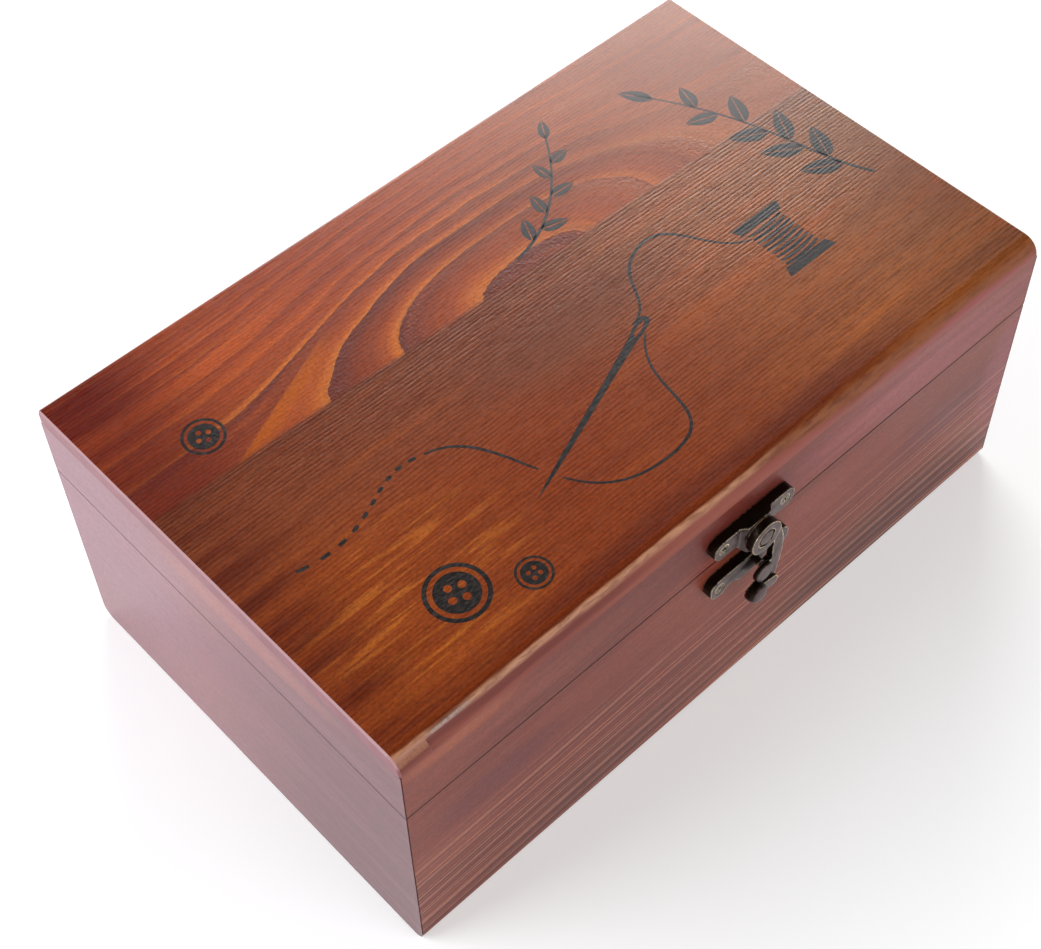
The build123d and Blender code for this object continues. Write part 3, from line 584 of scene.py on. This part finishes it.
# A worn tan line with a painted highlight on it.
tan_wear_highlight = step(tree, maths(tree, "ABSOLUTE", maths(tree, "SUBTRACT", wander, 0.52)), 0.22, 0.06)
tan_wear_highlight = times(tree, tan_wear_highlight, step(tree, edge_patches, 0.32, 0.60, 0.40, 0.95))
tan_wear_highlight = times(tree, tan_wear_highlight, maths(tree, "SUBTRACT", 1.0, past_latch))
by_scoop = smudge(tree, point["X"], point["Y"], (-92.5, -64.0), (8.0, 6.0))
tan_wear_highlight = times(tree, tan_wear_highlight, maths(tree, "MULTIPLY_ADD", by_scoop, -0.7, 1.0))
colour = blend(tree, tan_wear_highlight, colour, tone(194, 134, 98))
# Painted highlight along the scoop's upper edge.
scoop_lip_highlight = times(tree, step(tree, forward, 0.46, 0.54), step(tree, forward, 0.66, 0.58))
scoop_lip_highlight = times(tree, scoop_lip_highlight, step(tree, mottle, 0.32, 0.58, 0.25, 0.85))
colour = blend(tree, times(tree, by_scoop, scoop_lip_highlight), colour, tone(178, 152, 140))
beige = times(tree, step(tree, point["X"], -98.5, -99.3), step(tree, forward, 0.34, 0.55))
beige = times(tree, beige, step(tree, forward, 0.92, 0.80))
beige = times(tree, beige, step(tree, mottle, 0.30, 0.60, 0.45, 0.85))
colour = blend(tree, beige, colour, tone(172, 114, 86))
endwise = step(tree, maths(tree, "ABSOLUTE", facing["X"]), 0.40, 0.80)
at_end = step(tree, maths(tree, "ABSOLUTE", point["X"]), 105.0, 106.0)
# The board's end faces take the end boards' tone, with the same painted sheen.
end_tone = blend(tree, step(tree, streaks, 0.35, 0.65), tone(134, 76, 86), tone(146, 86, 94))
end_tone = blend(tree, at_end, tone(62, 28, 24), end_tone)
colour = blend(tree, endwise, colour, end_tone)
# Painted highlight: a pale line along the arris at each end.
side_arris_highlight = step(tree, maths(tree, "ABSOLUTE", facing["X"]), 0.30, 0.55)
side_arris_highlight = times(tree, side_arris_highlight, step(tree, facing["Z"], 0.25, 0.50))
colour = blend(tree, times(tree, side_arris_highlight, 0.6), colour, tone(196, 158, 160))
back_tone = blend(tree, step(tree, streaks, 0.35, 0.65), tone(106, 48, 38), tone(128, 62, 48))
colour = blend(tree, step(tree, facing["Y"], 0.20, 0.90), colour, back_tone)
# Painted highlight: a pale line along the back arris.
back_arris_highlight = times(tree, step(tree, facing["Y"], 0.20, 0.50), step(tree, facing["Y"], 0.95, 0.80))
colour = blend(tree, times(tree, back_arris_highlight, 0.5), colour, tone(190, 156, 150))
tree.links.new(colour, surface.inputs["Base Color"])
upward = step(tree, facing["Z"], 0.60, 0.95)
sheen = step(tree, figure["Ridge"], 0.2, 0.8, 0.30, 0.23)
tree.links.new(maths(tree, "SUBTRACT", 0.56, times(tree, upward, sheen)), surface.inputs["Roughness"])
tree.links.new(times(tree, endwise, 0.3), surface.inputs["Coat Weight"])
surface.inputs["Specular IOR Level"].default_value = 0.42
bump_up(tree, surface, figure["Height"], 0.8, 0.00007)
finish_in(top_stain, "lid_top_board")


# Ink drawing: a spool whose thread runs through a needle and turns into running stitches, with buttons
# and two leafy sprigs, stamped on the lid in black. Each line is a thin closed sheet on the wood.

lid_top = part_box("lid_top_board")[1][2]
ink_top = lid_top + 0.00001
ink_bottom = lid_top - 0.00010
ink_work = bmesh.new()


def ink_shape(outline, holes=()):
    """A flat inked shape from its outline and the outlines of the bare spots in it, in millimetres."""
    rings = [outline, *holes]
    flat = [point for ring in rings for point in ring]
    level = [[Vector((x, y, 0.0)) for x, y in ring] for ring in rings]
    upper = [ink_work.verts.new((x / 1000, y / 1000, ink_top)) for x, y in flat]
    lower = [ink_work.verts.new((x / 1000, y / 1000, ink_bottom)) for x, y in flat]
    for a, b, c in tessellate_polygon(level):
        (x0, y0), (x1, y1), (x2, y2) = flat[a], flat[b], flat[c]
        if (x1 - x0) * (y2 - y0) < (y1 - y0) * (x2 - x0):
            b, c = c, b
        ink_work.faces.new((upper[a], upper[b], upper[c]))
        ink_work.faces.new((lower[a], lower[c], lower[b]))
    start = 0
    for ring in rings:
        for index in range(len(ring)):
            one, two = start + index, start + (index + 1) % len(ring)
            ink_work.faces.new((upper[one], lower[one], lower[two], upper[two]))
        start += len(ring)


def ink_line(points, widths):
    """A pen line along the points, as wide at each as widths says."""
    left, right = [], []
    for index, (x, y) in enumerate(points):
        before = points[max(index - 1, 0)]
        after = points[min(index + 1, len(points) - 1)]
        along = Vector((after[0] - before[0], after[1] - before[1])).normalized()
        half = widths[index] / 2
        left.append((x - along.y * half, y + along.x * half))
        right.append((x + along.y * half, y - along.x * half))
    ink_shape(left + right[::-1])


def sweep_of(start, start_pull, end_pull, end, count=24):
    """Points along a smooth curve from start to end."""
    knots = [Vector((x, y, 0.0)) for x, y in (start, start_pull, end_pull, end)]
    return [(spot.x, spot.y) for spot in interpolate_bezier(*knots, count)]


def pen_widths(count, thin, thick):
    return [thin + (thick - thin) * sin(pi * index / (count - 1)) for index in range(count)]


def round_of(x, y, radius, count=40):
    angles = [2 * pi * k / count for k in range(count)]
    return [(x + radius * cos(angle), y + radius * sin(angle)) for angle in angles]


def inked_button(x, y, radius, turn):
    """A button with a rim and four holes."""
    off_middle, hole_radius = radius * 0.30, radius * 0.13
    angles = [turn + k * pi / 2 for k in range(4)]
    holes = [round_of(x + off_middle * cos(a), y + off_middle * sin(a), hole_radius, 14) for a in angles]
    ink_shape(round_of(x, y, radius), [round_of(x, y, radius * 0.86)])
    ink_shape(round_of(x, y, radius * 0.70), holes)


def inked_leaf(x, y, length, width, angle):
    """A pointed leaf with a bare midrib, its foot at x, y."""
    def at(u, v):
        return (x + u * cos(angle) - v * sin(angle), y + u * sin(angle) + v * cos(angle))
    for side in (1, -1):
        pulls = at(length * 0.25, side * width * 0.75), at(length * 0.70, side * width * 0.55)
        outer = sweep_of(at(length * 0.04, side * 0.12), *pulls, at(length, 0.0), 12)
        inner = [at(length * 0.92, side * 0.13), at(length * 0.5, side * 0.20)]
        ink_shape(outer + inner)


def inked_sprig(stem, leaves):
    """A stem with pairs of leaves; leaves lists place along the stem, length, width and lean."""
    ink_line(stem, [1.0 - 0.5 * index / (len(stem) - 1) for index in range(len(stem))])
    for share, length, width, lean in leaves:
        index = min(int(share * (len(stem) - 1)), len(stem) - 2)
        (x0, y0), (x1, y1) = stem[index], stem[index + 1]
        heading = atan2(y1 - y0, x1 - x0)
        inked_leaf(x0, y0, length, width, heading + radians(lean))


needle_tip, needle_head = Vector((-40.0, -36.0)), Vector((18.0, -14.0))
needle_along = (needle_head - needle_tip).normalized()
needle_across = Vector((-needle_along.y, needle_along.x))
needle_length = (needle_head - needle_tip).length


def on_needle(along, across):
    spot = needle_tip + needle_along * along + needle_across * across
    return (spot.x, spot.y)


needle_sides = [(0.0, 0.0), (5.0, 0.35), (14.0, 0.65), (40.0, 0.90)]
needle_sides += [(needle_length - 9.0, 1.15), (needle_length - 5.0, 1.55)]
quarter_turn = [pi / 2 * k / 5 for k in range(6)]
needle_sides += [(needle_length - 1.5 + 1.5 * sin(a), 1.55 * cos(a)) for a in quarter_turn]
needle_outline = [on_needle(u, v) for u, v in needle_sides]
needle_outline += [on_needle(u, -v) for u, v in needle_sides[-2:0:-1]]
eye_middle = needle_length - 4.6
whole_turn = [pi * k / 8 for k in range(16)]
needle_eye = [on_needle(eye_middle + 2.9 * cos(a), 0.62 * sin(a)) for a in whole_turn]
ink_shape(needle_outline, [needle_eye])

spool_x, spool_y, spool_half, spool_tall = 62.0, -30.0, 8.5, 21.0
rim_tall, rim_half = 3.0, spool_half - 1.2
spool_ends = [(spool_y, spool_half, rim_half), (spool_y + spool_tall - rim_tall, rim_half, spool_half)]
for foot, foot_half, head_half in spool_ends:
    head = foot + rim_tall
    lower_edge = [(spool_x - foot_half, foot), (spool_x + foot_half, foot)]
    upper_edge = [(spool_x + head_half, head), (spool_x - head_half, head)]
    ink_shape(lower_edge + upper_edge)
for turn in range(9):
    low = spool_y + 3.9 + turn * 1.6
    ends = (spool_x - 6.2, low), (spool_x + 6.2, low + 0.5)
    bow = sweep_of(ends[0], (spool_x - 2.0, low - 0.7), (spool_x + 2.0, low - 0.4), ends[1], 8)
    ink_line(bow, pen_widths(len(bow), 0.7, 1.15))

thread = sweep_of((55.6, -14.4), (44.0, -10.0), (46.0, 6.0), (34.0, 4.0))
thread += sweep_of((34.0, 4.0), (20.0, 1.5), (24.0, -12.0), on_needle(needle_length - 4.0, 2.0))[1:]
ink_line(thread, pen_widths(len(thread), 0.55, 0.85))
thread = sweep_of(on_needle(needle_length - 5.2, -2.0), (-2.0, -30.0), (14.0, -50.0), (-12.0, -48.0))
thread += sweep_of((-12.0, -48.0), (-40.0, -46.0), (-30.0, -12.0), (-50.0, -8.0), 30)[1:]
pieces = [[]]
for spot in thread:
    offset = Vector(spot) - needle_tip
    beside, along = abs(offset.dot(needle_across)), offset.dot(needle_along)
    over_needle = beside < 1.6 and 0.0 < along < needle_length - 8.0
    if over_needle and pieces[-1]:
        pieces.append([])
    elif not over_needle:
        pieces[-1].append(spot)
for piece in pieces:
    if len(piece) > 2:
        ink_line(piece, pen_widths(len(piece), 0.55, 0.85))
stitches = sweep_of((-52.0, -7.4), (-66.0, -4.0), (-72.0, -20.0), (-96.0, -12.0), 41)
for first in range(0, 40, 4):
    ink_line(stitches[first:first + 3], [0.8, 1.1, 0.7])
inked_button(-70.0, -42.0, 8.0, 0.4)
inked_button(-54.0, -50.0, 4.6, 0.9)
inked_button(-84.0, 32.0, 5.5, 0.2)
inked_sprig(sweep_of((97.0, -20.0), (88.0, -4.0), (92.0, 14.0), (72.0, 44.0), 40), [
    (0.16, 12.5, 5.5, 42.0), (0.24, 12.5, 5.5, -40.0), (0.36, 12.5, 5.2, 44.0), (0.46, 12.5, 5.2, -42.0),
    (0.56, 11.5, 5.0, 45.0), (0.66, 11.5, 5.0, -44.0), (0.76, 10.0, 4.4, 46.0), (0.84, 9.5, 4.2, -42.0),
    (0.97, 10.0, 4.2, 2.0),
])
inked_sprig(sweep_of((8.0, 22.0), (22.0, 24.0), (34.0, 34.0), (44.0, 50.0), 30), [
    (0.20, 8.5, 3.8, 44.0), (0.30, 8.5, 3.8, -42.0), (0.44, 8.0, 3.6, 45.0), (0.56, 8.0, 3.6, -44.0),
    (0.70, 7.0, 3.2, 46.0), (0.80, 7.0, 3.2, -42.0), (0.97, 7.5, 3.2, 0.0),
])

ink_mesh = bpy.data.meshes.new("inked_drawing")
ink_work.to_mesh(ink_mesh)
ink_work.free()
inked_drawing = bpy.data.objects.new("inked_drawing", ink_mesh)
scene.collection.objects.link(inked_drawing)
black_ink, tree, surface = new_material("black_ink")
place = millimetres(tree)
figure = use_group(tree, lid_figure, {"Place": place})
worn = stretched_noise(tree, place, (0.6, 1.6, 1.6), 3.0, 0.7)
ink_colour = blend(tree, step(tree, worn, 0.45, 0.75), tone(26, 20, 19), tone(52, 40, 36))
in_hollows = times(tree, step(tree, figure["Ridge"], 0.35, 0.05), figure["Ridged"])
ink_colour = blend(tree, in_hollows, ink_colour, tone(14, 10, 10))
tree.links.new(ink_colour, surface.inputs["Base Color"])
tree.links.new(step(tree, worn, 0.3, 0.7, 0.30, 0.42), surface.inputs["Roughness"])
bump_up(tree, surface, figure["Height"], 0.8, 0.00007)
ink_mesh.materials.append(black_ink)
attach(inked_drawing, "lid")


# Keeper plate and stud: die-cast and bronzed, near black, with the finish worn off the edges, which also
# carry painted highlight; faces turned to the front or back are painted lighter as lit.

worn_and_lit_edges, given, result = new_group(
    "worn_and_lit_edges", [("Place", "Vector"), ("Reach", "Float")], [("Wear And Glint", "Float")],
)
tree = worn_and_lit_edges
# Bright at the edges: worn metal, with painted highlight as well.
rounded = wire(tree, "Bevel", {"Radius": given["Reach"]}, samples=6).outputs[0]
true = wire(tree, "NewGeometry").outputs["Normal"]
agree = wire(tree, "VectorMath", {0: rounded, 1: true}, operation="DOT_PRODUCT").outputs["Value"]
edge = step(tree, agree, 0.995, 0.90)
edge_patchiness = stretched_noise(tree, given["Place"], (0.7, 0.7, 0.7), 3.0, 0.6)
tree.links.new(times(tree, edge, step(tree, edge_patchiness, 0.34, 0.56)), result["Wear And Glint"])


def bronzed(name, dark, lit, bright, edge_reach):
    """Antique bronze: a dark chemical finish; faces turned to the front or back are painted lighter in
    blotches as lit, and the edges are bright, worn metal with painted highlight.
    """
    material, tree, surface = new_material(name)
    place = millimetres(tree)
    wear_and_glint = use_group(tree, worn_and_lit_edges, {"Place": place, "Reach": edge_reach})["Wear And Glint"]
    blotches = stretched_noise(tree, place, (0.45, 0.45, 0.45), 4.0, 0.6)
    grit = stretched_noise(tree, place, (3.0, 3.0, 3.0), 2.0, 0.6)
    facing = surface_facing(tree)
    # Painted light: faces turned to the front or the back are lighter, in blotches.
    faces_along_y = step(tree, maths(tree, "ABSOLUTE", facing["Y"]), 0.55, 0.95)
    lit_faces = times(tree, faces_along_y, step(tree, blotches, 0.30, 0.68, 0.35, 1.0))
    colour = blend(tree, lit_faces, dark, lit)
    colour = blend(tree, wear_and_glint, colour, bright)
    tree.links.new(colour, surface.inputs["Base Color"])
    surface.inputs["Metallic"].default_value = 0.9
    rough = step(tree, blotches, 0.30, 0.70, 0.32, 0.48)
    tree.links.new(maths(tree, "MULTIPLY_ADD", wear_and_glint, -0.10, rough), surface.inputs["Roughness"])
    bump_up(tree, surface, grit, 0.35, 0.00004)
    return material


# Dark finish, faces painted lighter as lit, and bright edges that are worn and carry painted highlight.
bronze_tones = tone(42, 32, 26), tone(116, 100, 100), tone(240, 220, 178)
screw_tones = tone(52, 44, 36), tone(128, 114, 98), tone(244, 230, 198)
antique_bronze = bronzed("antique_bronze", *bronze_tones, 0.00058)
screw_bronze = bronzed("screw_bronze", *screw_tones, 0.00036)


def eased_copy(node, name, body, arris, material):
    """A copy of a CAD piece with its sharp edges eased, which stands for that piece."""
    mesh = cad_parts[node].data.copy()
    mesh.name = name
    work = bmesh.new()
    work.from_mesh(mesh)
    bmesh.ops.remove_doubles(work, verts=work.verts, dist=2e-6)
    bmesh.ops.dissolve_limit(work, angle_limit=radians(1.0), verts=work.verts, edges=work.edges)
    work.to_mesh(mesh)
    work.free()
    mesh.materials.clear()
    mesh.materials.append(material)
    piece = bpy.data.objects.new(name, mesh)
    scene.collection.objects.link(piece)
    ease = piece.modifiers.new("eased_edges", "BEVEL")
    ease.width = arris
    ease.segments = 2
    ease.limit_method = "ANGLE"
    ease.angle_limit = radians(30.0)
    ease.harden_normals = True
    mesh.shade_smooth()
    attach(piece, body)
    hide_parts(node)
    return piece


def reshape(piece, operation, work):
    """Cuts a solid out of a piece or joins it on, before the piece's edges are eased."""
    bmesh.ops.recalc_face_normals(work, faces=work.faces)
    tool_mesh = bpy.data.meshes.new("tool")
    work.to_mesh(tool_mesh)
    work.free()
    tool_mesh.shade_smooth()
    tool = bpy.data.objects.new("tool", tool_mesh)
    scene.collection.objects.link(tool)
    change = piece.modifiers.new("reshape", "BOOLEAN")
    change.operation = operation
    change.solver = "EXACT"
    change.object = tool
    bpy.ops.object.select_all(action="DESELECT")
    bpy.context.view_layer.objects.active = piece
    while piece.modifiers[0] != change:
        bpy.ops.object.modifier_move_up(modifier="reshape")
    bpy.ops.object.modifier_apply(modifier="reshape")
    bpy.data.objects.remove(tool)
    bpy.data.meshes.remove(tool_mesh)


def cross_cut(piece, outward):
    """Cuts a cross recess into the head of each screw of a group, each turned its own way."""
    work = bmesh.new()
    work.from_mesh(piece.data)
    heads, seen = [], set()
    for start in work.verts:
        if start in seen:
            continue
        shell, grow = [], [start]
        seen.add(start)
        while grow:
            vert = grow.pop()
            shell.append(vert.co.copy())
            for edge in vert.link_edges:
                other = edge.other_vert(vert)
                if other not in seen:
                    seen.add(other)
                    grow.append(other)
        low = [min(spot[axis] for spot in shell) for axis in range(3)]
        high = [max(spot[axis] for spot in shell) for axis in range(3)]
        face = high[1] if outward > 0 else low[1]
        heads.append(((low[0] + high[0]) / 2, (low[2] + high[2]) / 2, face))
    work.free()
    arm, half, depth, clear = 0.00105, 0.00021, 0.00045, 0.001
    first_turn, next_turn = 0.3, 0.9
    outline = [(half, half), (half, arm), (-half, arm), (-half, half), (-arm, half), (-arm, -half),
               (-half, -half), (-half, -arm), (half, -arm), (half, -half), (arm, -half), (arm, half)]
    cutter = bmesh.new()
    for number, (x, z, face) in enumerate(heads):
        angle = first_turn + next_turn * number
        c, s = cos(angle), sin(angle)
        spots = [(x + u * c - v * s, z + u * s + v * c) for u, v in outline]
        levels = face - outward * depth, face + outward * clear
        ends = [[cutter.verts.new((a, y, b)) for a, b in spots] for y in levels]
        cutter.faces.new(ends[0])
        cutter.faces.new(ends[1][::-1])
        for one in range(12):
            two = (one + 1) % 12
            cutter.faces.new((ends[0][one], ends[1][one], ends[1][two], ends[0][two]))
    reshape(piece, "DIFFERENCE", cutter)


def driven_screws(node, body, arris, outward):
    """A group of screws with eased heads and a cross recess in each."""
    screws = eased_copy(node, node + "_driven", body, arris, screw_bronze)
    cross_cut(screws, outward)


def turned(x, z, profile, sides=48):
    """A solid turned about a line along Y through x and z, from its profile of radius and y."""
    work = bmesh.new()
    rings = []
    for radius, y in profile:
        if radius == 0:
            rings.append([work.verts.new((x, y, z))])
        else:
            spokes = [2 * pi * k / sides for k in range(sides)]
            rings.append([work.verts.new((x + radius * cos(a), y, z + radius * sin(a))) for a in spokes])
    for one, two in zip(rings, rings[1:]):
        for k in range(sides):
            corners = [one[k % len(one)], one[(k + 1) % len(one)]]
            corners += [two[(k + 1) % len(two)], two[k % len(two)]]
            work.faces.new(list(dict.fromkeys(corners)))
    return work


eased_copy("keeper_plate", "keeper_plate_cast", "base", 0.00025, antique_bronze)
eased_copy("keeper_stud", "keeper_stud_turned", "base", 0.00015, antique_bronze)
driven_screws("keeper_screws", "base", 0.00012, -1)


# Hook plate: the keeper plate's partner on the lid, swelling forward under the hook, and its rivet.

eased_copy("hook_plate", "hook_plate_cast", "lid", 0.00025, antique_bronze)
driven_screws("hook_plate_screws", "lid", 0.00012, -1)
eased_copy("hook_rivet", "hook_rivet_headed", "lid", 0.00020, antique_bronze)


# Swing hook: one casting, a ring at its head, an arm, a round cap over the stud and a domed thumb
# piece. The cap and the thumb piece are turned smoother here than the CAD solid's flat-topped discs.

def faced_off(piece, x, z, start, end, radius=0.0033):
    """Takes a disc off the front of a piece, between two places along Y."""
    reshape(piece, "DIFFERENCE", turned(x, z, [(0, start), (radius, start), (radius, end), (0, end)]))


hook = eased_copy("latch_hook", "latch_hook_cast", "latch_hook", 0.00028, antique_bronze)
thumb_x, thumb_z, thumb_radius, thumb_root, thumb_face = -0.0020, 0.0514, 0.00293, -0.0722, -0.07528
toe_face, past_thumb = -0.0734, -0.0765
faced_off(hook, thumb_x, thumb_z, toe_face - 5e-5, past_thumb)
dome_foot = toe_face - 1e-4
dome_high = dome_foot - thumb_face
rise = [pi / 2 * k / 9 for k in range(9)]
dome = [(thumb_radius * cos(a) ** 0.8, dome_foot - dome_high * sin(a)) for a in rise]
thumb = [(0, thumb_root), (thumb_radius, thumb_root), *dome, (0, thumb_face)]
reshape(hook, "UNION", turned(thumb_x, thumb_z, thumb))

cap_x, cap_z, cap_radius, cap_root, cap_face, cap_round = 0.0006, 0.0570, 0.00303, -0.0720, -0.07338, 0.0006
cap_cut, past_cap = -0.0726, -0.0745
faced_off(hook, cap_x, cap_z, cap_cut, past_cap)
bend = [pi / 2 * k / 5 for k in range(6)]
corner = [(cap_radius - cap_round * (1 - cos(a)), cap_face + cap_round * (1 - sin(a))) for a in bend]
cap = [(0, cap_root), (cap_radius, cap_root), *corner, (0, cap_face - 2e-5)]
reshape(hook, "UNION", turned(cap_x, cap_z, cap))


# Hinges: two small bronzed hinges on the back, each two leaves rolled round one steel pin.

for side in ("left", "right"):
    finish_in(antique_bronze, "hinge_leaf_base_" + side, "hinge_leaf_lid_" + side)
    finish_in(screw_bronze, "hinge_pin_" + side)
driven_screws("hinge_screws_base", "base", 0.00010, 1)
driven_screws("hinge_screws_lid", "lid", 0.00010, 1)
